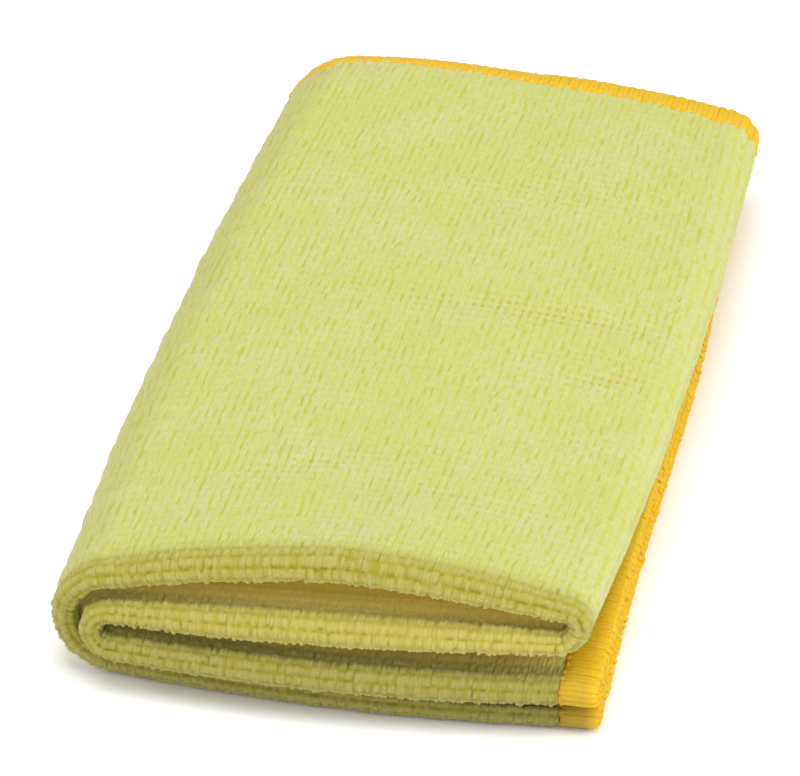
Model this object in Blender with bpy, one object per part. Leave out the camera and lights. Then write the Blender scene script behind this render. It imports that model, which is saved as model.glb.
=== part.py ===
"""A square microfibre cloth with an overlocked edge, folded in half three times and laid on a table.

The first fold brings the far half over the near half, so every layer is a doubled sheet with a rounded
lip at its near end.  The doubled sheet is then folded twice from side to side.  Its course is one
back-and-forth route in the XZ plane: from the end of the third layer, round fold C, along the second
layer, round fold B, along the top layer, round fold A, and along the bottom layer to its end.

Frame: X across the folded cloth, Y along it with the creased end at -Y, Z up, origin under the middle.
"""

import math
from collections import namedtuple

import bpy
import numpy as np

MM = 0.001

# Driving sizes, in millimetres.
SHEET = 2.2            # thickness of one sheet, pile included
SHEET_GAP = 0.4        # between the two sheets of a doubled layer
EDGING_WIDTH = 5.6     # how far the overlock reaches in from the cut edge
EDGING_THICKNESS = 2.2
PIECE_GAP = 0.3        # between the cloth and its edging
LIP_REACH = 17.0       # how far behind the lip the doubled layer is still plump
CENTRE = (-0.90, -0.44)  # middle of the folded stack in the tables' own X and Y

COLLECTION = "microfibre_cloth"
CLOTH_COLOUR = (0.66, 0.70, 0.20)
EDGING_COLOUR = (0.84, 0.52, 0.03)

# The middle line of the doubled sheet, place by place along its route.  near, behind, middle and far are
# cross-sections at these shares of the length from the lip to the cut edge.  lip_y is where the centre
# of the lip lies, edge_y where the cloth ends, lip the half thickness of the doubled layer at its lip,
# and droop how far the free edge has sunk.
SECTION_SHARES = (0.0, 0.24, 0.62, 1.0)
SECTIONS = ("near", "behind", "middle", "far")
Place = namedtuple(
    "Place",
    "name near_x near_z behind_x behind_z middle_x middle_z far_x far_z lip_y edge_y lip droop",
)
PLACES = tuple(
    Place(*row)
    for row in (
        ("third layer, end", 44.5, 8.7, 43.6, 8.2, 43.7, 8.0, 40.8, 8.0, -95.4, 93.0, 2.8, 0.0),
        ("third layer, middle", 4.0, 8.9, 2.0, 8.2, 1.0, 8.0, 0.0, 8.0, -100.5, 94.0, 2.9, 0.0),
        ("third layer, left", -39.4, 8.6, -40.6, 8.2, -42.0, 8.0, -40.4, 8.0, -100.0, 94.0, 2.4, 0.0),
        ("fold C", -42.7, 11.7, -44.0, 11.2, -45.3, 11.0, -43.8, 11.0, -98.6, 93.5, 2.3, 0.0),
        ("second layer, left", -39.4, 14.8, -40.6, 14.2, -42.0, 14.0, -40.4, 14.0, -97.6, 94.0, 2.4, 0.0),
        ("second layer, middle", 0.0, 17.6, 1.0, 14.6, 3.0, 13.9, 2.0, 13.8, -98.3, 94.5, 3.3, 0.0),
        ("second layer, right", 43.0, 18.1, 44.6, 14.4, 46.5, 13.9, 45.6, 13.3, -94.2, 90.4, 2.35, 0.0),
        ("fold B", 46.2, 21.2, 47.8, 17.5, 49.7, 17.0, 49.0, 16.5, -92.8, 89.1, 2.3, 0.0),
        ("top layer, right", 43.0, 24.3, 44.6, 20.6, 46.3, 20.1, 45.1, 19.8, -92.8, 91.0, 2.4, 0.3),
        ("top, right of middle", 21.0, 28.4, 22.0, 23.9, 22.0, 21.8, 22.0, 21.2, -94.6, 94.8, 3.1, 0.5),
        ("top layer, middle", 3.0, 29.5, 1.0, 24.6, 0.0, 22.0, 2.0, 21.9, -95.2, 96.2, 3.2, 1.4),
        ("top, left of middle", -18.0, 26.8, -20.0, 23.9, -21.0, 21.9, -19.0, 23.2, -95.6, 97.0, 3.1, 2.4),
        ("top layer, left", -37.6, 21.9, -39.9, 21.3, -41.0, 20.6, -37.0, 23.2, -95.4, 96.2, 2.8, 2.8),
        ("fold A", -48.4, 11.9, -50.6, 12.0, -51.4, 11.6, -49.4, 12.0, -95.6, 92.2, 2.5, 0.8),
        ("bottom layer, left", -38.0, 2.4, -40.4, 2.35, -41.5, 2.35, -40.0, 2.35, -95.2, 93.5, 2.5, 0.0),
        ("bottom layer, middle", 4.0, 2.4, 3.0, 2.35, 2.0, 2.35, 1.0, 2.35, -97.1, 94.0, 2.5, 0.0),
        ("bottom layer, end", 44.5, 2.4, 43.6, 2.35, 43.9, 2.35, 40.8, 2.35, -93.8, 93.0, 2.5, 0.0),
    )
)
DROOP_REACH = 14.0     # how far in from the free edge the cloth starts to sink
# Each stretch of the route: its first, middle and last place, and how many strips it is cut into.
RUN, FOLD = "run", "fold"
STRETCHES = (
    (RUN, 0, 1, 2, 7),
    (FOLD, 2, 3, 4, 8),
    (RUN, 4, 5, 6, 7),
    (FOLD, 6, 7, 8, 8),
    (RUN, 8, 9, 10, 4),
    (RUN, 10, 11, 12, 5),
    (FOLD, 12, 13, 14, 10),
    (RUN, 14, 15, 16, 7),
)
FINE = 30              # points of the fine route to each stretch
SOFTENING = 1.0        # mm over which a run eases into a fold

# Shares of the length where the cloth has a cross-section, closer together behind the lip.
LENGTH_SHARES = (0.0, 0.03, 0.07, 0.12, 0.19, 0.28, 0.4, 0.52, 0.64, 0.76, 0.87, 0.95, 1.0)
LIP_STEPS = 6          # strips round the lip
# Outline of the edging across its width: share of the width from the free edge, share of the thickness.
EDGING_SECTION = ((0.0, 0.22), (0.14, 0.5), (1.0, 0.5), (1.0, -0.5), (0.14, -0.5), (0.0, -0.22))


def column(name):
    """One column of the table of places, as an array."""
    return np.array([getattr(place, name) for place in PLACES])


def through_sections(values, share):
    """A smooth curve through one value for each cross-section, read at a share of the length."""
    knots = SECTION_SHARES
    slopes = np.gradient(values, knots, axis=0)
    after = min(max(np.searchsorted(knots, share), 1), len(knots) - 1)
    before = after - 1
    span = knots[after] - knots[before]
    t = (share - knots[before]) / span
    ease = t * t * (3 - 2 * t)
    value = values[before] * (1 - ease) + values[after] * ease
    value += slopes[before] * span * t * (1 - t) ** 2
    value -= slopes[after] * span * t * t * (1 - t)
    return value


def arch(first, middle, last, t):
    """A shallow arch through three values, the middle one at half way."""
    return first * (1 - t) * (1 - 2 * t) + middle * 4 * t * (1 - t) + last * t * (2 * t - 1)


def half_turn(first, crest, last, t):
    """A half ellipse from the first point to the last, reaching out to the crest."""
    angle = math.pi * t
    base = first + (last - first) * (1 - np.cos(angle))[:, None] / 2
    base[:, 0] += (crest[0] - (first[0] + last[0]) / 2) * np.sin(angle)
    return base


def stretch_values(values):
    """A value at each place, spread along the fine route."""
    t = np.linspace(0, 1, FINE, endpoint=False)
    spread = [arch(values[a], values[b], values[c], t) for _, a, b, c, _ in STRETCHES]
    return np.append(np.concatenate(spread), values[-1])


def soften(route):
    """The route with its corners eased: each point becomes the mean of its neighbours within reach."""
    step = np.linalg.norm(np.diff(route, axis=0), axis=1)
    along = np.concatenate([[0], np.cumsum(step)])
    weight_of = np.gradient(along)
    reach = np.minimum(SOFTENING, np.minimum(along, along[-1] - along) / 2 + 1e-6)
    weights = np.exp(-(((along[:, None] - along[None, :]) / reach[:, None]) ** 2)) * weight_of
    return weights @ route / weights.sum(axis=1)[:, None]


def route_at(share):
    """Points of the doubled sheet's middle line at this share of the length, and the normals there."""
    sections = [
        np.stack([column(f"{name}_x"), column(f"{name}_z")], axis=1)
        for name in SECTIONS
    ]
    places = through_sections(np.array(sections), share)
    t = np.linspace(0, 1, FINE, endpoint=False)
    pieces = []
    for kind, a, b, c, _ in STRETCHES:
        if kind == RUN:
            pieces.append(arch(places[a], places[b], places[c], t[:, None]))
        else:
            pieces.append(half_turn(places[a], places[b], places[c], t))
    route = soften(np.concatenate(pieces + [places[-1:]]))
    tangent = np.gradient(route, axis=0)
    tangent /= np.linalg.norm(tangent, axis=1)[:, None]
    normal = np.stack([-tangent[:, 1], tangent[:, 0]], axis=1)
    return route, tangent, normal


class FoldedCloth:
    """Where any point of the flat cloth lies once it is folded.

    station counts points of the fine route, share runs from the lip to the cut edge.  side is +1 on the
    sheet that faces the route's left, -1 on the other.  depth is measured from the middle of the sheet,
    positive on the face that is outside at the lip.
    """

    def __init__(self):
        self.lip_y = stretch_values(column("lip_y"))
        self.edge_y = stretch_values(column("edge_y"))
        self.lip = stretch_values(column("lip")) - SHEET / 2
        self.droop = stretch_values(column("droop"))
        self.routes = {}

    def route(self, share):
        if share not in self.routes:
            self.routes[share] = route_at(share)
        return self.routes[share]

    def half_gap(self, station, share):
        """From the middle of the doubled layer to the middle of either sheet."""
        flat = (SHEET + SHEET_GAP) / 2
        run = share * (self.edge_y[station] - self.lip_y[station])
        return flat + (self.lip[station] - flat) * math.exp(-((run / LIP_REACH) ** 2))

    def sunk(self, station, share, past_edge):
        """How far the cloth has sunk near its free edge."""
        run = (1 - share) * (self.edge_y[station] - self.lip_y[station])
        from_free = run + PIECE_GAP + EDGING_WIDTH - past_edge
        return self.droop[station] * max(0.0, 1 - from_free / DROOP_REACH) ** 2

    def point(self, station, share, side, depth, past_end=0.0, past_edge=0.0, lip_angle=0.0):
        """past_end and past_edge carry on beyond the route's end and the cut edge, for the edging."""
        route, tangent, normal = self.route(share)
        radius = self.half_gap(station, share) + depth
        x, z = route[station]
        if past_end:
            outward = -1 if station == 0 else 1
            x += outward * past_end * tangent[station][0]
            z += outward * past_end * tangent[station][1]
        y = self.lip_y[station] * (1 - share) + self.edge_y[station] * share + past_edge
        across = side * radius * math.cos(lip_angle)
        x += normal[station][0] * across
        z += normal[station][1] * across - self.sunk(station, share, past_edge)
        y -= radius * math.sin(lip_angle)
        return (MM * (x - CENTRE[0]), MM * (y - CENTRE[1]), MM * max(z, 0.0))


def stations():
    """Points of the fine route where the cloth has a strip's edge."""
    found = []
    for number, (_, _, _, _, strips) in enumerate(STRETCHES):
        found += [round(FINE * (number + k / strips)) for k in range(strips)]
    return found + [FINE * len(STRETCHES)]


def lengthwise():
    """(share, side, lip angle) from the cut edge of one sheet, round the lip, to that of the other."""
    there = [(share, 1, 0.0) for share in reversed(LENGTH_SHARES)]
    lip = [(0.0, 1, math.pi * k / LIP_STEPS) for k in range(1, LIP_STEPS)]
    back = [(share, -1, 0.0) for share in LENGTH_SHARES]
    return there + lip + back


def cloth_mesh(folded):
    """Both faces of the sheet as grids over the flat cloth, joined round its four cut edges."""
    across, along = stations(), lengthwise()
    rows, columns = len(across), len(along)
    points = []
    for depth in (SHEET / 2, -SHEET / 2):
        for station in across:
            points += [
                folded.point(station, share, side, depth, lip_angle=angle) for share, side, angle in along
            ]
    under = rows * columns
    faces = []
    for i in range(rows - 1):
        for j in range(columns - 1):
            a, b = i * columns + j, (i + 1) * columns + j
            faces.append((a, a + 1, b + 1, b))
            faces.append((under + a, under + b, under + b + 1, under + a + 1))
    for i in range(rows - 1):
        for j, flip in ((0, False), (columns - 1, True)):
            a, b = i * columns + j, (i + 1) * columns + j
            rim = (a, b, under + b, under + a)
            faces.append(rim[::-1] if flip else rim)
    for j in range(columns - 1):
        for i, flip in ((0, True), (rows - 1, False)):
            a = i * columns + j
            rim = (a, a + 1, under + a + 1, under + a)
            faces.append(rim[::-1] if flip else rim)
    return points, faces


def border():
    """Once round the flat cloth's edge: the places where the edging has a cross-section.

    Each is (station, share, side, lip angle, outward end, outward edge); outward tells which way the
    edging leaves the cloth there, both at a corner.
    """
    last = FINE * len(STRETCHES)
    across, along = stations(), lengthwise()
    loop = [(0, 1.0, 1, 0.0, 1, 1)]
    loop += [(0, share, side, angle, 1, 0) for share, side, angle in along]
    loop += [(0, 1.0, -1, 0.0, 1, 1)]
    loop += [(station, 1.0, -1, 0.0, 0, 1) for station in across]
    loop += [(last, 1.0, -1, 0.0, 1, 1)]
    loop += [(last, share, side, angle, 1, 0) for share, side, angle in reversed(along)]
    loop += [(last, 1.0, 1, 0.0, 1, 1)]
    loop += [(station, 1.0, 1, 0.0, 0, 1) for station in reversed(across)]
    return loop


def edging_mesh(folded):
    """A band past the cloth's edge, thinner towards its free side, closed into one loop."""
    loop, sides = border(), len(EDGING_SECTION)
    points = []
    for station, share, side, angle, past_end, past_edge in loop:
        for width_share, thickness_share in EDGING_SECTION:
            out = PIECE_GAP + EDGING_WIDTH * (1 - width_share)
            points.append(
                folded.point(
                    station,
                    share,
                    side,
                    EDGING_THICKNESS * thickness_share,
                    past_end * out,
                    past_edge * out,
                    angle,
                )
            )
    faces = []
    for i in range(len(loop)):
        for j in range(sides):
            a, b = i * sides + j, i * sides + (j + 1) % sides
            c, d = ((i + 1) % len(loop)) * sides + (j + 1) % sides, ((i + 1) % len(loop)) * sides + j
            faces.append((d, c, b, a))
    return points, faces


def make_material(name, colour, roughness):
    material = bpy.data.materials.new(name)
    material.use_nodes = True
    shader = material.node_tree.nodes["Principled BSDF"]
    shader.inputs["Base Color"].default_value = (*colour, 1.0)
    shader.inputs["Roughness"].default_value = roughness
    shader.inputs["Metallic"].default_value = 0.0
    return material


def make_object(name, points, faces, material, collection):
    mesh = bpy.data.meshes.new(name)
    mesh.from_pydata(points, [], faces)
    mesh.materials.append(material)
    mesh.shade_smooth()
    made = bpy.data.objects.new(name, mesh)
    collection.objects.link(made)
    return made


def main():
    for old in list(bpy.data.objects):
        bpy.data.objects.remove(old, do_unlink=True)
    collection = bpy.data.collections.new(COLLECTION)
    bpy.context.scene.collection.children.link(collection)
    folded = FoldedCloth()
    cloth_material = make_material("terry_microfibre", CLOTH_COLOUR, 0.95)
    edging_material = make_material("overlock_thread", EDGING_COLOUR, 0.8)
    make_object("cloth", *cloth_mesh(folded), cloth_material, collection)
    make_object("edging", *edging_mesh(folded), edging_material, collection)


main()
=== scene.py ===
# %% [markdown]
# # A folded microfibre cloth
# This lesson dresses a plain solid of a folded cleaning cloth. The solid has the right size and the right
# folds, but its surface is bare. Here it gets the short looped pile of the real cloth and the thick
# orange thread that is sewn over its cut edge. First the imported solid is loaded.

# %% Load the imported solid
import math
from collections import namedtuple

import bpy
import numpy as np
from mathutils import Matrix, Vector


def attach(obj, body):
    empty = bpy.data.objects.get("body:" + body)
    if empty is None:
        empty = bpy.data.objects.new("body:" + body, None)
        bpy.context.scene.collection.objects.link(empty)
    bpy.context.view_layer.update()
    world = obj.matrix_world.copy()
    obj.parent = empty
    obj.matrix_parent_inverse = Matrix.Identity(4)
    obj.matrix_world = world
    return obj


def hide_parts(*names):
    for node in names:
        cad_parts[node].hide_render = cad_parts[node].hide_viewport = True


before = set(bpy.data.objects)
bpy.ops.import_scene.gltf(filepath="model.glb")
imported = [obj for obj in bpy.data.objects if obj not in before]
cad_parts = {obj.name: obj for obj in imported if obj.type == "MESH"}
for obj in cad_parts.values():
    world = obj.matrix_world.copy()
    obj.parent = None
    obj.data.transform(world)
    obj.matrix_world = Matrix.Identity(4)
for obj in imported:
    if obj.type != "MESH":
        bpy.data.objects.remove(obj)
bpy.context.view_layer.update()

MM = 0.001

# %% [markdown]
# ## Camera and light
# The cloth was photographed from in front, a little to the right and from above, with a long lens. A
# long lens nearly keeps parallel lines parallel, so the camera stands far off for so small a thing. It is
# aimed by a point on the cloth, which is easier to adjust than three angles.

# %% Camera
AZIMUTH, ELEVATION = 12.2, 33.0       # degrees to the right of the creased end, and above the table
AIM = Vector((-3.0, -12.26, 14.0)) * MM
DISTANCE, LENS = 0.878, 202.5


def direction(azimuth, elevation):
    """From the cloth towards something that stands at these angles."""
    a, e = math.radians(azimuth), math.radians(elevation)
    return Vector((math.sin(a) * math.cos(e), -math.cos(a) * math.cos(e), math.sin(e)))


def add_camera():
    camera = bpy.data.objects.new("camera", bpy.data.cameras.new("camera"))
    bpy.context.scene.collection.objects.link(camera)
    camera.data.lens, camera.data.sensor_width = LENS, 36.0
    camera.data.clip_start, camera.data.clip_end = 0.05, 20.0
    back = direction(AZIMUTH, ELEVATION)
    camera.location = AIM + back * DISTANCE
    camera.rotation_euler = back.to_track_quat("Z", "Y").to_euler()
    bpy.context.scene.camera = camera
    return camera


print("camera at", [round(x, 3) for x in add_camera().location])

# %% [markdown]
# A white table in a bright room: the floor is a large plain sheet, and the room's own light fills every
# shadow. Four wide soft lamps are added. The one overhead makes the top of the stack brighter than its
# front, a low one in front reaches into the folds, one on the right lights the sewn edge, and a weak one
# on the left lights the outer fold. Colours are shown as they are, with the Standard view, so that a
# strong orange stays strong.

# %% Floor and lamps
bpy.context.scene.view_settings.view_transform = "Standard"


def add_floor():
    mesh = bpy.data.meshes.new("floor")
    corners = [(6 * x, 6 * y, 0) for x, y in ((-1, -1), (1, -1), (1, 1), (-1, 1))]
    mesh.from_pydata(corners, [], [(0, 1, 2, 3)])
    material = bpy.data.materials.new("white_table")
    material.use_nodes = True
    shader = material.node_tree.nodes["Principled BSDF"]
    shader.inputs["Base Color"].default_value = (0.97, 0.97, 0.97, 1)
    shader.inputs["Roughness"].default_value = 0.9
    mesh.materials.append(material)
    floor = bpy.data.objects.new("floor", mesh)
    bpy.context.scene.collection.objects.link(floor)
    floor.location.z = -0.0002


def add_lamp(name, azimuth, elevation, distance, width, watts):
    lamp = bpy.data.lights.new(name, "AREA")
    lamp.shape, lamp.size, lamp.energy = "DISK", width, watts
    made = bpy.data.objects.new(name, lamp)
    bpy.context.scene.collection.objects.link(made)
    towards = direction(azimuth, elevation)
    made.location = towards * distance
    made.rotation_euler = towards.to_track_quat("Z", "Y").to_euler()


def fill_room(strength):
    world = bpy.data.worlds.new("room")
    world.use_nodes = True
    world.node_tree.nodes["Background"].inputs["Color"].default_value = (1, 1, 1, 1)
    world.node_tree.nodes["Background"].inputs["Strength"].default_value = strength
    bpy.context.scene.world = world


add_floor()
fill_room(0.62)
add_lamp("overhead", 0, 82, 1.6, 1.1, 13.8)
add_lamp("front", 0, 14, 1.5, 0.9, 4.5)
add_lamp("right", 85, 28, 1.5, 0.9, 9.8)
add_lamp("left", -70, 35, 1.5, 0.9, 5)
print("floor, four lamps and the room's light are in place")

# %% [markdown]
# ## Where the folded cloth lies
# The cloth is folded in half once from end to end, which makes a doubled layer with a rounded lip at the
# near end, and then twice from side to side. Every thread of it can be placed by two numbers on the flat
# cloth: how far across it is, and how far from the lip. So the folds are kept as one table of places along
# the route of the doubled layer, the same table that the solid was made from, and one function turns flat
# positions into folded ones. It is the sewing equivalent of rolling out a map.

# %% The table of folds
SHEET = 2.2            # mm, thickness of one sheet with its pile
SHEET_GAP = 0.4        # mm, between the two sheets of a doubled layer
LIP_REACH = 17.0       # mm behind the lip over which the doubled layer stays plump
DROOP_REACH = 14.0     # mm in from the free edge where it starts to sink
EDGING_WIDTH = 5.6     # mm
PIECE_GAP = 0.3        # mm between the cut edge and the edging
CENTRE = (-0.90, -0.44)
SECTION_SHARES = (0.0, 0.24, 0.62, 1.0)
SECTIONS = ("near", "behind", "middle", "far")
Place = namedtuple(
    "Place",
    "name near_x near_z behind_x behind_z middle_x middle_z far_x far_z lip_y edge_y lip droop",
)
PLACES = tuple(
    Place(*row)
    for row in (
        ("third layer, end", 44.5, 8.7, 43.6, 8.2, 43.7, 8.0, 40.8, 8.0, -95.4, 93.0, 2.8, 0.0),
        ("third layer, middle", 4.0, 8.9, 2.0, 8.2, 1.0, 8.0, 0.0, 8.0, -100.5, 94.0, 2.9, 0.0),
        ("third layer, left", -39.4, 8.6, -40.6, 8.2, -42.0, 8.0, -40.4, 8.0, -100.0, 94.0, 2.4, 0.0),
        ("fold C", -42.7, 11.7, -44.0, 11.2, -45.3, 11.0, -43.8, 11.0, -98.6, 93.5, 2.3, 0.0),
        ("second layer, left", -39.4, 14.8, -40.6, 14.2, -42.0, 14.0, -40.4, 14.0, -97.6, 94.0, 2.4, 0.0),
        ("second layer, middle", 0.0, 17.6, 1.0, 14.6, 3.0, 13.9, 2.0, 13.8, -98.3, 94.5, 3.3, 0.0),
        ("second layer, right", 43.0, 18.1, 44.6, 14.4, 46.5, 13.9, 45.6, 13.3, -94.2, 90.4, 2.35, 0.0),
        ("fold B", 46.2, 21.2, 47.8, 17.5, 49.7, 17.0, 49.0, 16.5, -92.8, 89.1, 2.3, 0.0),
        ("top layer, right", 43.0, 24.3, 44.6, 20.6, 46.3, 20.1, 45.1, 19.8, -92.8, 91.0, 2.4, 0.3),
        ("top, right of middle", 21.0, 28.4, 22.0, 23.9, 22.0, 21.8, 22.0, 21.2, -94.6, 94.8, 3.1, 0.5),
        ("top layer, middle", 3.0, 29.5, 1.0, 24.6, 0.0, 22.0, 2.0, 21.9, -95.2, 96.2, 3.2, 1.4),
        ("top, left of middle", -18.0, 26.8, -20.0, 23.9, -21.0, 21.9, -19.0, 23.2, -95.6, 97.0, 3.1, 2.4),
        ("top layer, left", -37.6, 21.9, -39.9, 21.3, -41.0, 20.6, -37.0, 23.2, -95.4, 96.2, 2.8, 2.8),
        ("fold A", -48.4, 11.9, -50.6, 12.0, -51.4, 11.6, -49.4, 12.0, -95.6, 92.2, 2.5, 0.8),
        ("bottom layer, left", -38.0, 2.4, -40.4, 2.35, -41.5, 2.35, -40.0, 2.35, -95.2, 93.5, 2.5, 0.0),
        ("bottom layer, middle", 4.0, 2.4, 3.0, 2.35, 2.0, 2.35, 1.0, 2.35, -97.1, 94.0, 2.5, 0.0),
        ("bottom layer, end", 44.5, 2.4, 43.6, 2.35, 43.9, 2.35, 40.8, 2.35, -93.8, 93.0, 2.5, 0.0),
    )
)
RUN, FOLD = "run", "fold"
STRETCHES = (
    (RUN, 0, 1, 2),
    (FOLD, 2, 3, 4),
    (RUN, 4, 5, 6),
    (FOLD, 6, 7, 8),
    (RUN, 8, 9, 10),
    (RUN, 10, 11, 12),
    (FOLD, 12, 13, 14),
    (RUN, 14, 15, 16),
)
FINE = 30              # points of the route to each stretch
SOFTENING = 1.0        # mm over which a run eases into a fold
print(len(PLACES), "places on", len(STRETCHES), "stretches of the route")

# %% [markdown]
# The route is a line drawn through those places: a shallow arch along each run, and half an ellipse round
# each fold. It is worked out at many shares of the length between the lip and the cut edge, with a smooth
# curve through the four cross-sections, so that the folds open and close gently along the stack.

# %% The route at every share of the length


def column(name):
    return np.array([getattr(place, name) for place in PLACES])


def through_sections(values, share):
    """A smooth curve through one value for each cross-section."""
    knots = SECTION_SHARES
    slopes = np.gradient(values, knots, axis=0)
    after = min(max(np.searchsorted(knots, share), 1), len(knots) - 1)
    before = after - 1
    span = knots[after] - knots[before]
    t = (share - knots[before]) / span
    ease = t * t * (3 - 2 * t)
    value = values[before] * (1 - ease) + values[after] * ease
    return value + span * t * (1 - t) * (slopes[before] * (1 - t) - slopes[after] * t)


def arch(first, middle, last, t):
    return first * (1 - t) * (1 - 2 * t) + middle * 4 * t * (1 - t) + last * t * (2 * t - 1)


def half_turn(first, crest, last, t):
    angle = math.pi * t
    base = first + (last - first) * (1 - np.cos(angle))[:, None] / 2
    base[:, 0] += (crest[0] - (first[0] + last[0]) / 2) * np.sin(angle)
    return base


def soften(route):
    step = np.linalg.norm(np.diff(route, axis=0), axis=1)
    along = np.concatenate([[0], np.cumsum(step)])
    reach = np.minimum(SOFTENING, np.minimum(along, along[-1] - along) / 2 + 1e-6)
    weights = np.exp(-(((along[:, None] - along[None, :]) / reach[:, None]) ** 2)) * np.gradient(along)
    return weights @ route / weights.sum(axis=1)[:, None]


def route_at(share):
    """Middle line of the doubled layer at this share of the length, with its tangents."""
    sections = [np.stack([column(f"{name}_x"), column(f"{name}_z")], axis=1) for name in SECTIONS]
    places = through_sections(np.array(sections), share)
    t = np.linspace(0, 1, FINE, endpoint=False)
    pieces = []
    for kind, a, b, c in STRETCHES:
        if kind == RUN:
            pieces.append(arch(places[a], places[b], places[c], t[:, None]))
        else:
            pieces.append(half_turn(places[a], places[b], places[c], t))
    route = soften(np.concatenate(pieces + [places[-1:]]))
    tangent = np.gradient(route, axis=0)
    return route, tangent / np.linalg.norm(tangent, axis=1)[:, None]


def along_route(name):
    """One column of the table, spread along the fine route."""
    values, t = column(name), np.linspace(0, 1, FINE, endpoint=False)
    spread = [arch(values[a], values[b], values[c], t) for _, a, b, c in STRETCHES]
    return np.append(np.concatenate(spread), values[-1])


ROUTE_SHARES = np.linspace(0, 1, 61)
found = [route_at(share) for share in ROUTE_SHARES]
ROUTES = np.array([route for route, _ in found])
TANGENTS = np.array([tangent for _, tangent in found])
steps = np.linalg.norm(np.diff(ROUTES, axis=1), axis=2).mean(axis=0)
ACROSS = np.concatenate([[0], np.cumsum(steps)])     # mm across the flat cloth at each route point
LIP_Y, EDGE_Y, LIP, DROOP = (along_route(name) for name in ("lip_y", "edge_y", "lip", "droop"))
WIDTH = ACROSS[-1]
QUARTER = 4.4                                        # mm of cloth from the crest of the lip to its end
HALF = QUARTER + float(np.mean(EDGE_Y - LIP_Y))      # mm from the crest of the lip to the cut edge
print(f"flat cloth inside its edging: {WIDTH:.0f} x {2 * HALF:.0f} mm")

# %% [markdown]
# Now the function that lays points down. across runs over the width of the flat cloth, from the end of the
# third layer. run is the distance from the crest of the lip: minus on the sheet that is outside in the
# finished stack, plus on the other. depth is measured from the middle of the sheet, outwards. Everything
# is done on whole arrays, so a hundred thousand points take no longer than a blink.

# %% Lay points of the flat cloth down on the folded stack
ABOVE_TABLE = 0.02     # mm, the table presses everything flat at this height
ORDER = 0.2            # and what lies deeper in the cloth stays this share of its depth higher
PILE_TIP = 1.2         # mm from the middle of the sheet to the tips of the pile


def read(table, share, station):
    """A table over (share of the length, route point), read between its entries."""
    s = np.clip(share, 0, 1) * (len(table) - 1)
    i = np.clip(s.astype(int), 0, len(table) - 2)
    j = np.clip(station.astype(int), 0, table.shape[1] - 2)
    a, b = s - i, station - j
    if table.ndim == 3:
        a, b = a[:, None], b[:, None]
    low = table[i, j] * (1 - b) + table[i, j + 1] * b
    high = table[i + 1, j] * (1 - b) + table[i + 1, j + 1] * b
    return low * (1 - a) + high * a


# Creases and soft rises of the finished top. across and run are the middle, both in mm, turn is the way
# the crease runs in degrees from across, long and wide its half sizes, high its height, and specks how
# much of the foot of the pile it opens to view.
Crease = namedtuple("Crease", "name across run turn long wide high specks")
CREASES = [
    Crease(*row)
    for row in (
        ("long crease, right", 213, -103.8, 3, 17, 3.6, -0.30, 1.3),
        ("long crease, left", 243, -104.0, -3, 24, 2.6, -0.15, 0.4),
        ("rise in front of it", 226, -95.5, 4, 20, 3.0, 0.16, 0.0),
        ("between the two", 203, -91.5, 14, 8, 2.2, -0.10, 0.6),
        ("short crease, right", 200, -83.6, 22, 9, 2.6, -0.28, 1.3),
        ("rise by the short crease", 193, -76.0, 8, 12, 2.6, 0.16, 0.0),
        ("near crease, left", 247, -38.5, 20, 13, 2.6, -0.26, 0.9),
        ("near crease, right", 214, -31.5, -4, 17, 3.2, -0.18, 0.5),
        ("rise behind the lip", 228, -25.0, 3, 26, 4.0, 0.22, 0.0),
        ("far band", 226, -150.0, -2, 30, 7.0, -0.10, 0.3),
    )
]


def in_creases(across, run, weigh):
    """The sum over the creases of what weigh gives for one of them, fading out around it."""
    total = np.zeros_like(across)
    for crease in CREASES:
        turn = math.radians(crease.turn)
        dx, dy = across - crease.across, run - crease.run
        along = (dx * math.cos(turn) + dy * math.sin(turn)) / crease.long
        off = (dy * math.cos(turn) - dx * math.sin(turn)) / crease.wide
        total += weigh(crease) * np.exp(-(along**2) - off**2)
    return total


def unevenness(across, run):
    """mm by which the outer sheet rises or dips: a slow wander, with the creases added."""
    rise = 0.10 * np.sin(across * 0.11 + 0.7) * np.sin(run * 0.083 + 0.4)
    rise += 0.07 * np.sin(across * 0.21 - run * 0.17 + 1.3) + 0.05 * np.sin(run * 0.41 + across * 0.05)
    rise += in_creases(across, run, lambda crease: crease.high)
    outer_fold = np.exp(-(((across - (ACROSS[6 * FINE] + ACROSS[7 * FINE]) / 2) / 14) ** 2))
    ripples = 0.17 * np.sin(run * 0.97 + 2 * np.sin(run * 0.09)) + 0.14 * np.sin(run * 0.61 + 1.0)
    rise += ripples * outer_fold
    return rise * np.clip(-run / 6, 0, 1)


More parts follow.
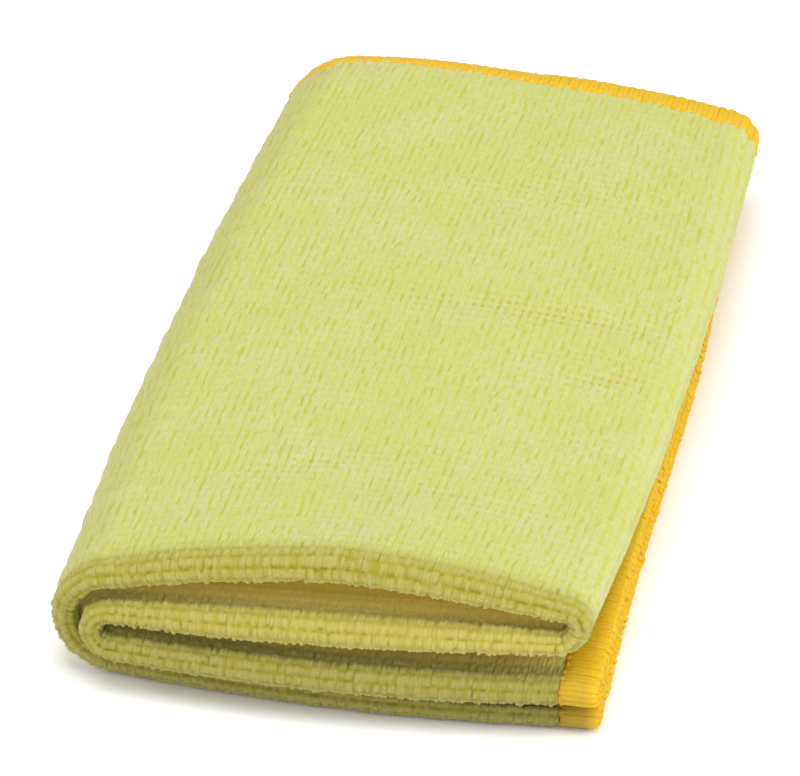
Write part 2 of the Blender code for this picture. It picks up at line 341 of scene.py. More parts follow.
def laid(across, run, depth):
    """Folded places, in metres, of points on the flat cloth given in mm."""
    across, run, depth = np.broadcast_arrays(*(np.asarray(v, float) for v in (across, run, depth)))
    inside = np.clip(across, 0, WIDTH)
    station = np.interp(inside, ACROSS, np.arange(len(ACROSS)))
    lip_y, edge_y, lip, droop = (np.interp(inside, ACROSS, v) for v in (LIP_Y, EDGE_Y, LIP, DROOP))
    side, reach = np.where(run < 0, -1.0, 1.0), np.abs(run)
    share = np.clip((reach - QUARTER) / (HALF - QUARTER), 0, 1)
    angle = np.clip(1 - reach / QUARTER, 0, 1) * math.pi / 2
    past_edge = np.maximum(reach - HALF, 0)
    flat = (SHEET + SHEET_GAP) / 2
    behind = share * (edge_y - lip_y)
    gap = flat + (lip - SHEET / 2 - flat) * np.exp(-((behind / LIP_REACH) ** 2))
    radius = gap + depth + unevenness(across, run)
    from_free = (1 - share) * (edge_y - lip_y) + PIECE_GAP + EDGING_WIDTH - past_edge
    sunk = droop * np.maximum(0, 1 - from_free / DROOP_REACH) ** 2
    centre, tangent = read(ROUTES, share, station), read(TANGENTS, share, station)
    tangent /= np.linalg.norm(tangent, axis=1)[:, None]
    past_end = across - inside
    lift = side * radius * np.cos(angle)
    x = centre[:, 0] + past_end * tangent[:, 0] - tangent[:, 1] * lift
    z = centre[:, 1] + past_end * tangent[:, 1] + tangent[:, 0] * lift - sunk
    y = lip_y * (1 - share) + edge_y * share + past_edge - radius * np.sin(angle)
    pressed = ABOVE_TABLE + ORDER * np.maximum(PILE_TIP - depth, 0)
    return MM * np.stack([x - CENTRE[0], y - CENTRE[1], np.maximum(z, pressed)], axis=1)


corners = laid([0, WIDTH, WIDTH / 2], [-HALF, HALF, 0.0], 0)
print("two cut corners and the middle of the lip, in mm:", (corners / MM).round(1).tolist())

# %% [markdown]
# ## Materials as sums
# A procedural material is a sum over noises and masks. Written node by node it is hard to read, so one
# small class lets sockets be added and multiplied like numbers, and a second one makes every other node
# in one way: its kind, its settings, then the values or links of its sockets.

# %% Sockets that can be added and multiplied


class Value:
    """A socket in a finish. Arithmetic on it adds Math nodes."""

    def __init__(self, finish, socket):
        self.finish, self.socket = finish, socket

    def maths(self, operation, *others):
        return self.finish.node("ShaderNodeMath", {"operation": operation}, dict(enumerate((self, *others))))

    def __add__(self, other):
        return self.maths("ADD", other)

    def __sub__(self, other):
        return self.maths("SUBTRACT", other)

    def __mul__(self, other):
        return self.maths("MULTIPLY", other)

    def __rsub__(self, other):
        return (self * -1) + other

    __radd__ = __add__
    __rmul__ = __mul__

    def held(self):
        """Kept between 0 and 1."""
        return self.finish.node("ShaderNodeClamp", {}, {"Value": self})


class Finish:
    """A material, and the one way its nodes are made."""

    def __init__(self, name, **constants):
        self.material = bpy.data.materials.new(name)
        self.material.use_nodes = True
        self.tree = self.material.node_tree
        self.shader = self.tree.nodes["Principled BSDF"]
        for socket, value in constants.items():
            self.shader.inputs[socket.replace("_", " ")].default_value = value

    def put(self, socket, value):
        if isinstance(value, Value):
            self.tree.links.new(value.socket, socket)
        else:
            socket.default_value = value

    def node(self, kind, settings, inputs, output=0):
        made = self.tree.nodes.new(kind)
        for name, value in settings.items():
            setattr(made, name, value)
        for name, value in inputs.items():
            self.put(made.inputs[name], value)
        return Value(self, made.outputs[output])

    def attribute(self, name, output="Fac"):
        return self.node("ShaderNodeAttribute", {"attribute_name": name}, {}, output)

    def stretched(self, vector, across, run):
        """A flat position with its two directions scaled, so that a noise on it can be drawn out."""
        inputs = {0: vector, 1: (across, run, 1.0)}
        return self.node("ShaderNodeVectorMath", {"operation": "MULTIPLY"}, inputs)

    def noise(self, vector, detail=2.0, roughness=0.5):
        inputs = {"Vector": vector, "Scale": 1.0, "Detail": detail, "Roughness": roughness}
        return self.node("ShaderNodeTexNoise", {}, inputs)

    def blend(self, share, first, second):
        return self.node("ShaderNodeMix", {"data_type": "RGBA"}, {0: share, 6: first, 7: second}, 2)

    def steps(self, value, low, high):
        """0 below low, 1 above high, eased between."""
        inputs = {"Value": value, "From Min": low, "From Max": high}
        return self.node("ShaderNodeMapRange", {"interpolation_type": "SMOOTHSTEP"}, inputs)

    def crossings(self, flat, across_pitch, run_pitch):
        """1 where a furrow between wales meets one between rows, 0 around it, with a chance for each."""
        waves = []
        for output, pitch, sign in ((0, across_pitch, 0.5), (1, run_pitch, -0.5)):
            position = self.node("ShaderNodeSeparateXYZ", {}, {0: flat}, output)
            waves.append((position * (2 * math.pi / pitch)).maths("COSINE") * sign + 0.5)
        shifted = self.node("ShaderNodeVectorMath", {}, {0: flat, 1: (across_pitch / 2, 0, 0)})
        cell = {0: shifted, 1: (across_pitch, run_pitch, 1000.0)}
        cell = self.node("ShaderNodeVectorMath", {"operation": "SNAP"}, cell)
        chance = self.node("ShaderNodeTexWhiteNoise", {"noise_dimensions": "3D"}, {"Vector": cell})
        return waves[0] * waves[1], chance

    def bump(self, height, distance, strength=1.0):
        inputs = {"Strength": strength, "Distance": distance, "Height": height}
        return self.node("ShaderNodeBump", {}, inputs)

    def wear(self, **varying):
        for socket, value in varying.items():
            self.put(self.shader.inputs[socket.replace("_", " ")], value)
        return self.material


print("sockets now add and multiply")

# %% [markdown]
# The pile is split microfibre: pale yellow-green, quite matt, with a faint bright fuzz when it is seen at
# a slant, which is what sheen is for. Light that goes down between the strands or into a fold bounces
# from yarn to yarn and comes out deeper and more yellow, at last nearly brown. A renderer would need very
# many bounces for that, so the mesh says at each point how high it stands in the pile, how far it lies in
# a fold and how much a low lip is shaded, and the colour is mixed from those as painted shade, with a faint
# painted glow deep in the folds. Slow noise makes paler patches. Where a furrow between wales meets one
# between rows, the pile opens a little: a dot of painted shade at each such crossing is deeper in colour,
# and in the creases it turns ochre. A fine bump drawn out along the cloth gives the fibres.

# %% The pile's finish
WALES = round(WIDTH / 1.55)
WALE = WIDTH / WALES                # mm between knitted columns
ROWS = round(HALF / 2.36)
ROW = HALF / ROWS                   # mm between rows
print(f"{WALES} wales {WALE:.2f} mm apart, {2 * ROWS} rows {ROW:.2f} mm apart")

PALE = (0.53, 0.53, 0.25, 1)
GREEN = (0.50, 0.525, 0.165, 1)
# DEEP and OCHRE are painted shade: bounced light at the foot of the pile, in the dots and in the creases.
DEEP = (0.48, 0.49, 0.055, 1)
OCHRE = (0.50, 0.40, 0.045, 1)
# The lips' colours are painted shade: a lip's front gets less light, and its opened rows show the deeper
# foot.
LIP_CREST = (0.405, 0.37, 0.085, 1)
LIP_FOOT = (0.33, 0.30, 0.02, 1)
SHADE = (0.20, 0.17, 0.03, 1)         # a lip low in the stack, where less light comes
# Painted shade and bounced light deep inside a fold; GLOW below is a painted glow.
FOLD_DEPTH = (0.70, 0.58, 0.13, 1)
GLOW = (0.096, 0.075, 0.013, 1)       # light that comes through the cloth into a fold
SPECK = (0.50, 0.88)                  # from no dot to a full one, by how much a crossing has opened
RARE = (0.90, 1.0)                    # the few crossings that are ochre outside the creases too
PATCHES = (0.35, 0.68)                # from green to pale, by the slow noise


def pile_finish(name):
    finish = Finish(name, Roughness=0.92, Sheen_Weight=0.2, Sheen_Roughness=0.5, Specular_IOR_Level=0.2)
    finish.shader.inputs["Emission Strength"].default_value = 1.0
    flat = finish.attribute("flat", "Vector")
    crest, tone = finish.attribute("crest"), finish.attribute("tone")
    folded, opened = finish.attribute("folded"), finish.attribute("opened")
    shaded = finish.attribute("shaded")
    patches = finish.steps(finish.noise(finish.stretched(flat, 0.045, 0.06), 3.0), *PATCHES)
    # Painted shade: a deeper dot where the furrows cross, ochre in the creases.
    crossing, chance = finish.crossings(flat, WALE, ROW)
    specks = finish.steps(crossing * (chance * 0.5 + 0.75) + opened * 0.12, *SPECK)
    foot = 1 - crest
    on_top = finish.blend((patches * 0.6 + tone * 0.4).held(), GREEN, PALE)
    # Painted shade at the foot of the strands.
    on_top = finish.blend((foot * 1.5).held(), on_top, DEEP)
    on_top = finish.blend((specks * (opened * 0.4 + 0.5)).held(), on_top, DEEP)
    rare = finish.steps(chance, *RARE) * 0.4
    on_top = finish.blend((specks * (opened * (chance * 1.2 + 0.35) + rare)).held(), on_top, OCHRE)
    # Painted shade on the lips, where folded is about a half.
    at_lip = finish.blend((foot * 1.6 - tone * 0.3).held(), LIP_CREST, LIP_FOOT)
    colour = finish.blend(finish.steps(folded, 0.0, 0.5), on_top, at_lip)
    # Painted shade deep in a fold, with a painted glow for light through the cloth.
    deep = finish.steps(folded, 0.5, 1.0)
    colour = finish.blend(deep, colour, FOLD_DEPTH)
    colour = finish.blend(shaded, colour, SHADE)
    glow = finish.blend(deep, (0, 0, 0, 1), GLOW)
    fibres = finish.noise(finish.stretched(flat, 2.6, 0.8), 2.0)
    fluff = finish.noise(finish.stretched(flat, 5.0, 3.5), 3.0, 0.6)
    relief = fibres * 0.7 + fluff * 0.5
    normal = finish.bump(relief, 0.0004, 0.9)
    roughness = 0.98 - patches * 0.1
    return finish.wear(Base_Color=colour, Roughness=roughness, Emission_Color=glow, Normal=normal)


PILE = pile_finish("yellow_green_pile")
print(PILE.name, "has", len(PILE.node_tree.nodes), "nodes")

# %% [markdown]
# ## Meshes from arrays
# All pieces are grids of quads or many copies of one small grid, so one function makes the mesh, gives it
# its material and stores numbers at each point for the material: the place on the flat cloth, how high
# the point stands on its strand, the strand's own shade, and how far it lies in a fold or a crease.

# %% One function for every mesh


def add_piece(name, points, faces, material, slot, flat, solids=(), **numbers):
    mesh = bpy.data.meshes.new(name)
    mesh.from_pydata(points.tolist(), [], faces.tolist())
    mesh.materials.append(material)
    mesh.shade_smooth()
    place = mesh.attributes.new("flat", "FLOAT_VECTOR", "POINT")
    place.data.foreach_set("vector", flat.astype(np.float32).ravel())
    for attribute, values in numbers.items():
        values = np.broadcast_to(values, len(points)).astype(np.float32)
        mesh.attributes.new(attribute, "FLOAT", "POINT").data.foreach_set("value", values)
    made = bpy.data.objects.new(name, mesh)
    bpy.context.scene.collection.objects.link(made)
    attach(made, "root")
    if solids:
        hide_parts(*solids)
    print(f"{name}: {sum(len(face) - 2 for face in faces)} triangles")
    return made


def grid_faces(rows, columns, wrap=False):
    """Quads between neighbouring points of a grid that is stored row by row."""
    i, j = np.meshgrid(np.arange(rows - 1), np.arange(columns if wrap else columns - 1), indexing="ij")
    a, b = i * columns + j, i * columns + (j + 1) % columns
    return np.stack([a, a + columns, b + columns, b], axis=-1).reshape(-1, 4)


print("a 3 x 3 grid has", len(grid_faces(3, 3)), "quads")

# %% [markdown]
# ## How far from the light
# Where a place lies in the stack decides how much light reaches it. Two small tables say, for each stretch
# of the route, how far from the light its lip lies and how far the fold behind the lip. They are read
# between their entries, so the colour deepens gently from the open top to the inside of a fold.

# %% How far a place lies in a fold
HIDDEN = (0.5, 0.5, 0.6, 0.66, 0.62, 0.6, 0.55, 0.5, 0.5)      # the lip: 0 is open, 1 is deep inside
DEEPEST = (0.70, 0.74, 0.85, 1.0, 1.0, 1.0, 1.0, 0.8, 0.7)     # the fold behind it
LIP_HALF, LIP_FADE = 3.0, 4.6      # mm behind the crest where the lip's colour starts to fade, and over


def smooth(x, low, high):
    t = np.clip((x - low) / (high - low), 0, 1)
    return t * t * (3 - 2 * t)


def in_fold(across, run):
    """0 on the open top, about a half on the lips, 1 deep between two layers."""
    reach = np.abs(run)
    lip = 0.5 * np.exp(-((np.maximum(reach - LIP_HALF, 0) / LIP_FADE) ** 2))
    # The outer fold and the underside take a little of the lips' painted shade.
    side = 0.2 * smooth(across, ACROSS[6 * FINE] - 4, ACROSS[6 * FINE] + 8)
    hidden, deepest = (np.interp(across, ACROSS[::FINE], by_stretch) for by_stretch in (HIDDEN, DEEPEST))
    hidden = np.maximum(hidden, deepest * smooth(reach, 2.0, 9.0))
    open_side = smooth(across, ACROSS[3 * FINE] - 3, ACROSS[3 * FINE] + 6)
    open_side = np.where(run < 0, open_side, 0)
    return np.maximum(lip, side) * open_side + hidden * (1 - open_side)


samples = np.array([[230, 230, 60], [0, -50, 40]])
print("how deep in a fold are the lip, the top and the last fold:", in_fold(*samples))

# %% [markdown]
# The lips lower in the stack are in the shade of those above, and more so towards the table. The lamps
# alone leave them brighter than on the real cloth, so a third table adds the rest as a painted shade.

# %% How much the lips lower in the stack are shaded
SHADED = (0.36, 0.32, 0.08, 0.0, 0.0, 0.0, 0.0, 0.40, 0.62)   # by stretch, as above


def shaded_at(across, run, start=4.0, end=10.0):
    """The shade of a lip, which fades between these distances behind it."""
    return np.interp(across, ACROSS[::FINE], SHADED) * (1 - smooth(np.abs(run), start, end))


print("shade of the lip of the bottom layer:", shaded_at(np.array([WIDTH]), np.array([0.0])))

# %% [markdown]
# ## The ground of the cloth
# Under the tufts lies the knitted ground. It is one closed sheet: an outer face and an inner face over
# the flat cloth, joined round the four cut edges. It keeps a little below the height of the pile, and it
# is cut finely enough for all the folds to stay round.

# %% The ground sheet
GROUND = 0.42          # mm from the middle of the sheet to the ground's face, on either side
ACROSS_STEPS = np.concatenate([[0], np.linspace(0, WIDTH, 231)[1:]])


def run_steps():
    """Distances from the crest of the lip, close together round it."""
    lip = np.linspace(0, QUARTER, 5)[1:]
    beyond = QUARTER + (HALF - QUARTER) * np.linspace(0, 1, 63)[1:] ** 1.25
    there = np.concatenate([lip, beyond])
    return np.concatenate([-there[::-1], [0], there])


def ground_sheet():
    runs = run_steps()
    across, run = (v.ravel() for v in np.meshgrid(ACROSS_STEPS, runs, indexing="ij"))
    rows, columns = len(ACROSS_STEPS), len(runs)
    points = np.concatenate([laid(across, run, depth) for depth in (GROUND, -GROUND)])
    outer = grid_faces(rows, columns)
    inner = outer[:, ::-1] + rows * columns
    rim = np.concatenate(
        [
            np.arange(columns),
            np.arange(1, rows) * columns + columns - 1,
            (rows - 1) * columns + np.arange(columns - 2, -1, -1),
            np.arange(rows - 2, 0, -1) * columns,
        ]
    )
    after = np.roll(rim, -1)
    border = np.stack([rim, after, after + rows * columns, rim + rows * columns], axis=1)
    flat = np.stack([across, run, np.zeros_like(run)], axis=1)
    return add_piece(
        "cloth_ground",
        points,
        np.concatenate([outer, inner, border]),
        PILE,
        "terry_microfibre",
        np.concatenate([flat, flat + (0, 0, 50)]),
        ("cloth",),
        crest=0.0,
        tone=0.5,
        folded=np.tile(in_fold(across, run), 2),
        shaded=np.tile(shaded_at(across, run), 2),
        opened=0.0,
    )


ground = ground_sheet()

# %% [markdown]
# ## The pile
# The pile is knitted in columns, the wales, which run the length of the cloth, and in rows across it. At
# each crossing stand two short strands of loops, side by side and longer than they are wide. On the flat
# top they lie down and close up into a soft nap; round a lip the rows open, and every strand shows. Here
# each strand is one entry of a table of small differences, and the height of the pile at a place is that
# of the highest strand there. That gives one soft surface in which strands overlap as they do in cloth,
# where separate little cushions would look like beads.

# %% The table of strands, and the height of the pile
STRANDS = 2 * WALES
STRAND_PITCH = WALE / 2
rng = np.random.default_rng(23)
shape = (STRANDS, 2 * ROWS + 1)
SHIFT_ACROSS = rng.normal(0, 0.13, shape) + np.where(np.arange(STRANDS) % 2, -0.09, 0.09)[:, None]
SHIFT_RUN = rng.normal(0, 0.24, shape)
LEAN = rng.normal(0, 0.10, shape)
WIDE = STRAND_PITCH / 2 * (1.38 + rng.normal(0, 0.09, shape))
LONG = ROW / 2 * (1.40 + rng.normal(0, 0.13, shape))
HEIGHT = 0.9
HIGH = HEIGHT + rng.normal(0, 0.08, shape)
HIGH[:, [0, -1]] *= rng.random((STRANDS, 2)) < 0.45     # only some strands reach over the cut edge
TONE = rng.uniform(0, 1, shape)
UPRIGHT_TO, UPRIGHT_FADE = 4.0, 5.5    # mm behind the lip where strands begin to lie down, and over
LESS_EVEN = 1.2                        # how much more the heights of upright strands differ
print(STRANDS, "strands across,", shape[1], "along")


def near_lip(run):
    """1 round the lip, fading to 0 behind it."""
    return np.exp(-((np.maximum(np.abs(run) - UPRIGHT_TO, 0) / UPRIGHT_FADE) ** 2))


def pile_height(across, run):
    """Height of the pile over the flat cloth, about 0 to 1, and the shade of the strand that shows."""
    upright = near_lip(run)         # strands stand in straighter, shorter rows round the lip
    strand, row = np.floor(across / STRAND_PITCH).astype(int), np.round(run / ROW).astype(int)
    height, shade = np.zeros_like(across), np.full_like(across, 0.5)
    for i in (strand - 1, strand, strand + 1):
        for j in (row - 1, row, row + 1):
            key = np.clip(i, 0, STRANDS - 1), np.clip(j, -ROWS, ROWS) + ROWS
            shift = SHIFT_RUN[key] * (1 - 0.45 * upright)
            v = (run - (key[1] - ROWS) * ROW - shift) / (LONG[key] * (1 - 0.29 * upright))
            aside = (SHIFT_ACROSS[key] + LEAN[key] * v) * (1 - 0.5 * upright)
            u = (across - (key[0] + 0.5) * STRAND_PITCH - aside) / WIDE[key]
            crown = np.maximum(1 - np.abs(v) ** (3 - 1.1 * upright), 0) ** 0.5
            form = np.maximum(1 - np.abs(u) ** 2.2, 0) ** 0.5 * crown
            form *= HIGH[key] + (HIGH[key] - HEIGHT) * LESS_EVEN * upright
            shade = np.where(form > height, TONE[key], shade)
            height = np.maximum(form, height)
    return height, shade


# %% [markdown]
# A patch of pile covers a stretch of the flat cloth with a fine grid, three steps to a strand on the top
# and four at the lips, and lays it on the folds. At the lips the strands stand up, so the grid there goes
# deeper. Where a patch ends out of sight, its border sinks into the ground.

# %% A patch of pile
NAP = (0.76, 1.08)                  # mm from the middle of the sheet: foot and tip of the flat nap
LIP_NAP = (0.42, 1.16)              # the same round the lips


def wale_at(station):
    """The wale that passes this point of the route."""
    return int(round(ACROSS[station] / WALE))


FOLD_B, FOLD_A, UNDER = (wale_at(FINE * number) for number in (3, 6, 7))
print("fold B starts at wale", FOLD_B, "fold A at", FOLD_A, "and the underside at", UNDER)


def pile_patch(name, wales, rows, across_cuts=3, run_cuts=3, sinks=()):
    """Pile from one wale to another and from one row to another; sinks names the borders that dive."""
    columns = int(round((wales[1] - wales[0]) * 2 * across_cuts))
    steps = int(round((rows[1] - rows[0]) * run_cuts))
    a = np.linspace(wales[0], wales[1], columns + 1) * WALE
    r = np.linspace(rows[0], rows[1], steps + 1) * ROW
    across, run = (v.ravel() for v in np.meshgrid(a, r, indexing="ij"))
    height, shade = pile_height(across, run)
    foot, tip = (flat + (lip - flat) * near_lip(run) for flat, lip in zip(NAP, LIP_NAP))
    depth = foot + (tip - foot) * height
    gone = np.zeros_like(depth)
    for border, distance in (
        ("first_wale", across - a[0]),
        ("last_wale", a[-1] - across),
        ("first_row", run - r[0]),
        ("last_row", r[-1] - run),
    ):
        if border in sinks:
            gone = np.maximum(gone, 1 - smooth(distance, 0, 1.0))
    depth = depth * (1 - gone) + (GROUND - 0.15) * gone
    return add_piece(
        name,
        laid(across, run, depth),
        grid_faces(len(a), len(r)),
        PILE,
        "terry_microfibre",
        np.stack([across, run, np.zeros_like(run)], axis=1),
        crest=np.clip(height, 0, 1),
        tone=shade,
        folded=in_fold(across, run),
        shaded=shaded_at(across, run),
        opened=in_creases(across, run, lambda crease: crease.specks),
    )


# %% [markdown]
# Only pile that can be seen is made. The outer sheet shows on the top, round both outer folds and
# underneath; near the lip both sheets of every layer show. At the sides it stops a little short of the
# cut ends, where the thread is sewn over it, and at the far edge single strands reach over the thread.

# %% Pile where it shows
START, END = 0.75, WALES - 0.75     # where the thread over the cut ends stops
PAST_EDGE = ROWS - 0.02
LIP_ROWS = 5.5
BEHIND = (-PAST_EDGE, 1 - LIP_ROWS)

pile = [
    pile_patch("pile_top", (FOLD_B, FOLD_A), BEHIND, 3, 3, ("first_wale", "last_row")),
    pile_patch("pile_outer_fold", (FOLD_A, UNDER), BEHIND, 3, 3, ("last_row",)),
    pile_patch("pile_underside", (UNDER, END), BEHIND, 1, 2, ("last_row",)),
    pile_patch("pile_outer_lips", (FOLD_B, END), (-LIP_ROWS, 0), 4, 6),
    pile_patch("pile_lips_outside", (START, FOLD_B), (-LIP_ROWS, 0), 4, 6, ("first_row",)),
    pile_patch("pile_lips_inside", (START, END), (0, LIP_ROWS), 4, 6, ("last_row",)),
]

# %% [markdown]
# ## The edging
# The four cut edges are bound with an overlock: a thick soft thread is thrown over the edge, out across
# one face and back across the other, again and again, while a needle thread locks it along the inner
# side. Each stitch shows as two strands that lean together at the edge, which gives the edge its row of
# small bumps. A strand here is a tube that is bent round the band in the flat, and the same function lays
# it on the folds. First come the places once round the border, with a fan of strands at each corner.

# %% Once round the border
STITCH = 2.24                       # mm along the edge for one stitch of two strands
STRAND = STITCH / 2
FAN = 5.5                           # mm of thread spread round each corner


def border(pitch):
    """Places on the cut edge, the way out of the cloth at each and the way along the border."""
    corners = np.array([(0, -HALF), (0, HALF), (WIDTH, HALF), (WIDTH, -HALF)])
    places, outward = [], []
    for leg in range(4):
        start, end = corners[leg], corners[(leg + 1) % 4]
        along = (end - start) / np.linalg.norm(end - start)
        out = np.array([-along[1], along[0]])
        count = round(np.linalg.norm(end - start) / pitch)
        places += [start + (end - start) * (k + 0.5) / count for k in range(count)]
        outward += [out] * count
        fan = max(2, round(FAN / pitch))
        for k in range(fan):
            turn = math.pi / 2 * (k + 0.5) / fan
            places.append(end)
            outward.append(out * math.cos(turn) + along * math.sin(turn))
    places, outward = np.array(places), np.array(outward)
    return places, outward, np.stack([outward[:, 1], -outward[:, 0]], axis=1)


print(len(border(STRAND)[0]), "strands round the border")

# %% [markdown]
# The thread is a soft bulky yarn: its fibres run along it with a slight twist. The twist is a band pattern
# on the strand's own length and girth. The yarn is mottled with deeper orange, and the furrows between
# strands are deeper too, from light that has bounced off orange once already.

# %% The thread's finish
MOTTLE = (0.82, 0.34, 0.010, 1)         # orange patches in the yarn
THREAD_SHADE = (0.30, 0.22, 0.03, 1)    # where less light comes


def thread_finish(name, bright, deep):
    finish = Finish(name, Roughness=0.6, Sheen_Weight=0.02, Sheen_Roughness=0.4, Specular_IOR_Level=0.10)
    flat = finish.attribute("flat", "Vector")
    crest, tone = finish.attribute("crest"), finish.attribute("tone")
    fibres = finish.noise(finish.stretched(flat, 0.9, 6.0), 2.0)
    twist = {"Vector": flat, "Scale": 0.75}
    twist = finish.node("ShaderNodeTexWave", {"bands_direction": "DIAGONAL"}, twist, 1)
    colour = finish.blend((0.7 - crest * 0.55 - tone * 0.2).held(), bright, deep)
    mottle = finish.steps(finish.noise(finish.stretched(flat, 0.8, 1.2), 2.0), 0.47, 0.66)
    colour = finish.blend(mottle * 0.3, colour, MOTTLE)
    colour = finish.blend(finish.attribute("shaded"), colour, THREAD_SHADE)
    relief = fibres * 0.6 + twist * 0.5
    normal = finish.bump(relief, 0.00012, 0.5)
    return finish.wear(Base_Color=colour, Roughness=0.5 + fibres * 0.25, Normal=normal)


THREAD = thread_finish("orange_overlock_thread", (0.72, 0.465, 0.018, 1), (0.72, 0.385, 0.011, 1))
NEEDLE = thread_finish("deeper_needle_thread", (0.78, 0.38, 0.013, 1), (0.76, 0.29, 0.009, 1))
print(THREAD.name, "and", NEEDLE.name)

# %% [markdown]
# Under the strands goes a plain core, so that nothing shows through between them. Then the strands, all in
# one mesh from arrays: the bent path of one strand, a ring round it at every point, and a copy at every
# place on the border.

# %% Core and strands
SHADE_FADE = (3.4, 7.5)             # mm behind the lip over which the shade on the edging fades
SHADE_SHARE = 1.35                  # of the shade the pile has there
SIDE = (4.2, 5.6)                   # mm out where the edge turns to its outer side, which stays bright
FAR_SHADE = 0.21                    # painted shade on the edging along the free far edge
BAND = 0.72                         # mm from the middle of the band to a strand's own middle
CORE_SECTION = ((5.3, 0.50), (0.1, 0.76), (0.1, -0.76), (5.3, -0.50))
# How far out a strand's middle is, in mm, and its side of the band, 1 on one face and -1 on the other.
StrandPoint = namedtuple("StrandPoint", "out side")
HALF_PATH = [StrandPoint(*row) for row in ((-1.55, 0.45), (-1.2, 0.95), (0.6, 1.05), (3.0, 1.0), (5.0, 0.75))]
PATH = HALF_PATH + [StrandPoint(5.5, 0.0)] + [StrandPoint(p.out, -p.side) for p in reversed(HALF_PATH)]


def edging_core():
    places, outward, _ = border(1.6)
    points = []
    for out, depth in CORE_SECTION:
        flat = places + outward * (PIECE_GAP + out)
        points.append(laid(flat[:, 0], flat[:, 1], depth))
    points = np.stack(points, axis=1).reshape(-1, 3)
    rings = np.arange(len(places))
    faces = []
    for k in range(len(CORE_SECTION)):
        near, far = k, (k + 1) % len(CORE_SECTION)
        here, there = rings * len(CORE_SECTION), np.roll(rings, -1) * len(CORE_SECTION)
        faces.append(np.stack([here + far, there + far, there + near, here + near], axis=1))
    faces = np.concatenate(faces)
    look = {"crest": 0.0, "tone": 0.3}
    return add_piece(
        "edging_core", points, faces, THREAD, "overlock_thread", points / MM, ("edging",), **look
    )


def strand_path():
    """Out, depth and the way off the band at every point of one strand, in mm."""
    path = np.array([(p.out, p.side * BAND) for p in PATH])
    tangent = np.gradient(path, axis=0)
    tangent /= np.linalg.norm(tangent, axis=1)[:, None]
    return path, np.stack([-tangent[:, 1], tangent[:, 0]], axis=1)


def edging_strands(sides=6, half_width=0.80, half_height=0.27):
    rng = np.random.default_rng(41)
    places, outward, onward = border(STRAND)
    path, off = strand_path()
    count, length = len(places), len(path)
    ring = 2 * math.pi * np.arange(sides) / sides
    taper = np.array([0.35] + [1.0] * (length - 2) + [0.35])
    together = 0.03 + 0.07 * (path[:, 0] / 5.5) ** 2     # the two strands of a stitch lean together
    lean = np.where(np.arange(count) % 2, -1, 1)[:, None] * together[None, :]
    lean = lean + rng.normal(0, 0.04, (count, 1)) + rng.normal(0, 0.03, (count, length))
    fat = 1 + rng.normal(0, 0.06, (count, length))
    reach = 1 + rng.normal(0, 0.02, (count, 1))
    bumps = np.where(np.arange(count) % 2, -0.035, 0.035) * np.abs(outward[:, 1])
    reach += bumps[:, None]         # one to a stitch, on the free far edge only
    wide = (half_width * taper * fat)[:, :, None] * np.cos(ring)
    high = (half_height * taper * fat)[:, :, None] * np.sin(ring)
    out = PIECE_GAP + (path[:, 0] * reach)[:, :, None] + high * off[:, 0][None, :, None]
    depth = path[:, 1][None, :, None] + high * off[:, 1][None, :, None]
    sideways = lean[:, :, None] + wide
    flat = (
        places[:, None, None, :]
        + outward[:, None, None, :] * out[..., None]
        + onward[:, None, None, :] * sideways[..., None]
    )
    points = laid(flat[..., 0].ravel(), flat[..., 1].ravel(), np.broadcast_to(depth, out.shape).ravel())
    one = grid_faces(length, sides, wrap=True)
    faces = (one[None] + length * sides * np.arange(count)[:, None, None]).reshape(-1, 4)
    run = np.concatenate([[0], np.cumsum(np.linalg.norm(np.diff(path, axis=0), axis=1))])
    own = np.stack(
        [
            np.broadcast_to(run[None, :, None], out.shape),
            np.broadcast_to((ring * 0.5)[None, None, :], out.shape),
            np.broadcast_to(np.arange(count)[:, None, None] * 3.7, out.shape),
        ],
        axis=-1,
    ).reshape(-1, 3)
    crest = np.broadcast_to(np.maximum(np.sin(ring), 0)[None, None, :], out.shape).ravel()
    tone = np.repeat(rng.uniform(0, 1, count), length * sides)
    shaded = shaded_at(flat[..., 0].ravel(), flat[..., 1].ravel(), *SHADE_FADE) * SHADE_SHARE
    shaded *= 1 - 0.85 * smooth(out.ravel(), *SIDE)
    # Painted shade along the free far edge.
    far_edge_shade = smooth(np.abs(flat[..., 1].ravel()), HALF - 1, HALF + 2) * FAR_SHADE
    look = {"crest": crest, "tone": tone, "shaded": np.maximum(shaded, far_edge_shade)}
    return add_piece("edging_strands", points, faces, THREAD, "overlock_thread", own, **look)


core, strands = edging_core(), edging_strands()

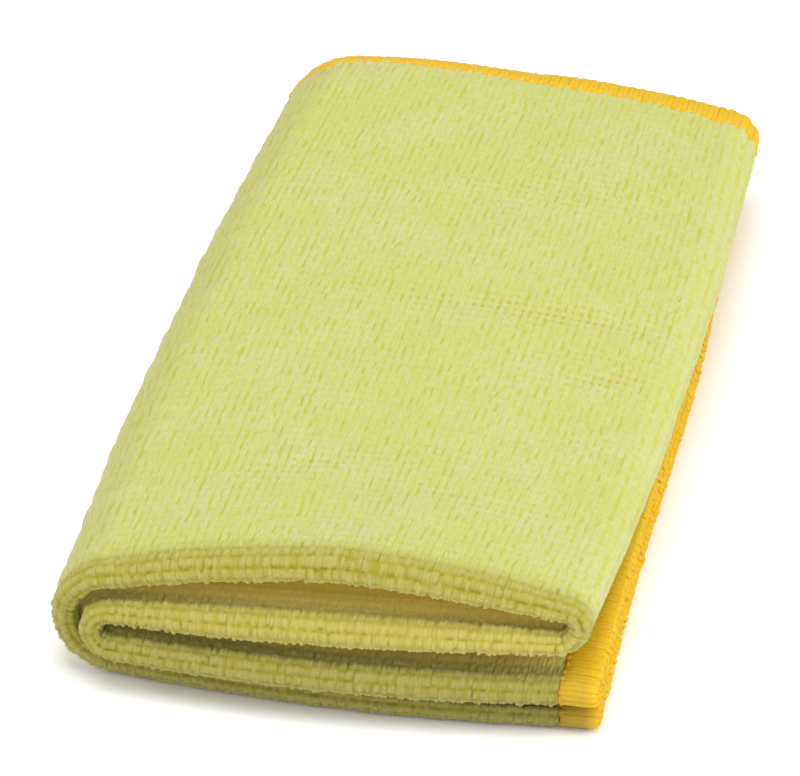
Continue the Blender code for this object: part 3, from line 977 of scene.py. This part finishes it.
# %% [markdown]
# The needle thread holds the overlock down along its inner side. Of each of its stitches one short, deeper
# orange bead shows on either face, beside the pile. A bead is a small dome, copied from arrays again.

# %% The needle thread
BEAD_ALONG, BEAD_ACROSS = 0.78, 0.46  # mm, half sizes of a bead
BEAD_INSIDE = 1.0                     # mm its middle lies inside the edging's border
BEAD_FOOT, BEAD_HIGH = 0.78, 0.5      # mm from the middle of the sheet to its foot, and its height


def needle_beads():
    rng = np.random.default_rng(5)
    places, outward, onward = border(STITCH)
    grid = np.linspace(-1, 1, 5)
    s, u = (v.ravel() for v in np.meshgrid(grid, grid[::2], indexing="ij"))
    dome = (1 - s**2) ** 0.5 * (1 - 0.9 * u**2)
    count, size = len(places), len(s)
    one = grid_faces(5, 3)
    points, faces, own, shaded = [], [], [], []
    for face in (1, -1):
        longer = 1 + rng.normal(0, 0.12, (count, 1))
        along = (s * BEAD_ALONG)[None] * longer + rng.normal(0, 0.15, (count, 1))
        out = PIECE_GAP - BEAD_INSIDE + (u * BEAD_ACROSS)[None] + rng.normal(0, 0.10, (count, 1))
        depth = face * (BEAD_FOOT + BEAD_HIGH * dome)[None] * (1 + rng.normal(0, 0.03, (count, 1)))
        flat = places[:, None] + outward[:, None] * out[..., None] + onward[:, None] * along[..., None]
        points.append(laid(flat[..., 0].ravel(), flat[..., 1].ravel(), depth.ravel()))
        start = len(faces) * count * size
        quads = one if face > 0 else one[:, ::-1]
        faces.append((quads[None] + start + size * np.arange(count)[:, None, None]).reshape(-1, 4))
        own.append(np.stack([along.ravel(), out.ravel(), depth.ravel()], axis=1))
        shaded.append(shaded_at(flat[..., 0].ravel(), flat[..., 1].ravel(), *SHADE_FADE) * SHADE_SHARE)
    look = {"crest": np.tile(dome, 2 * count), "tone": np.repeat(rng.uniform(0, 1, 2 * count), size)}
    look["shaded"] = np.concatenate(shaded)
    points, faces, own = np.concatenate(points), np.concatenate(faces), np.concatenate(own)
    return add_piece("edging_needle_thread", points, faces, NEEDLE, "overlock_thread", own, **look)


needle = needle_beads()
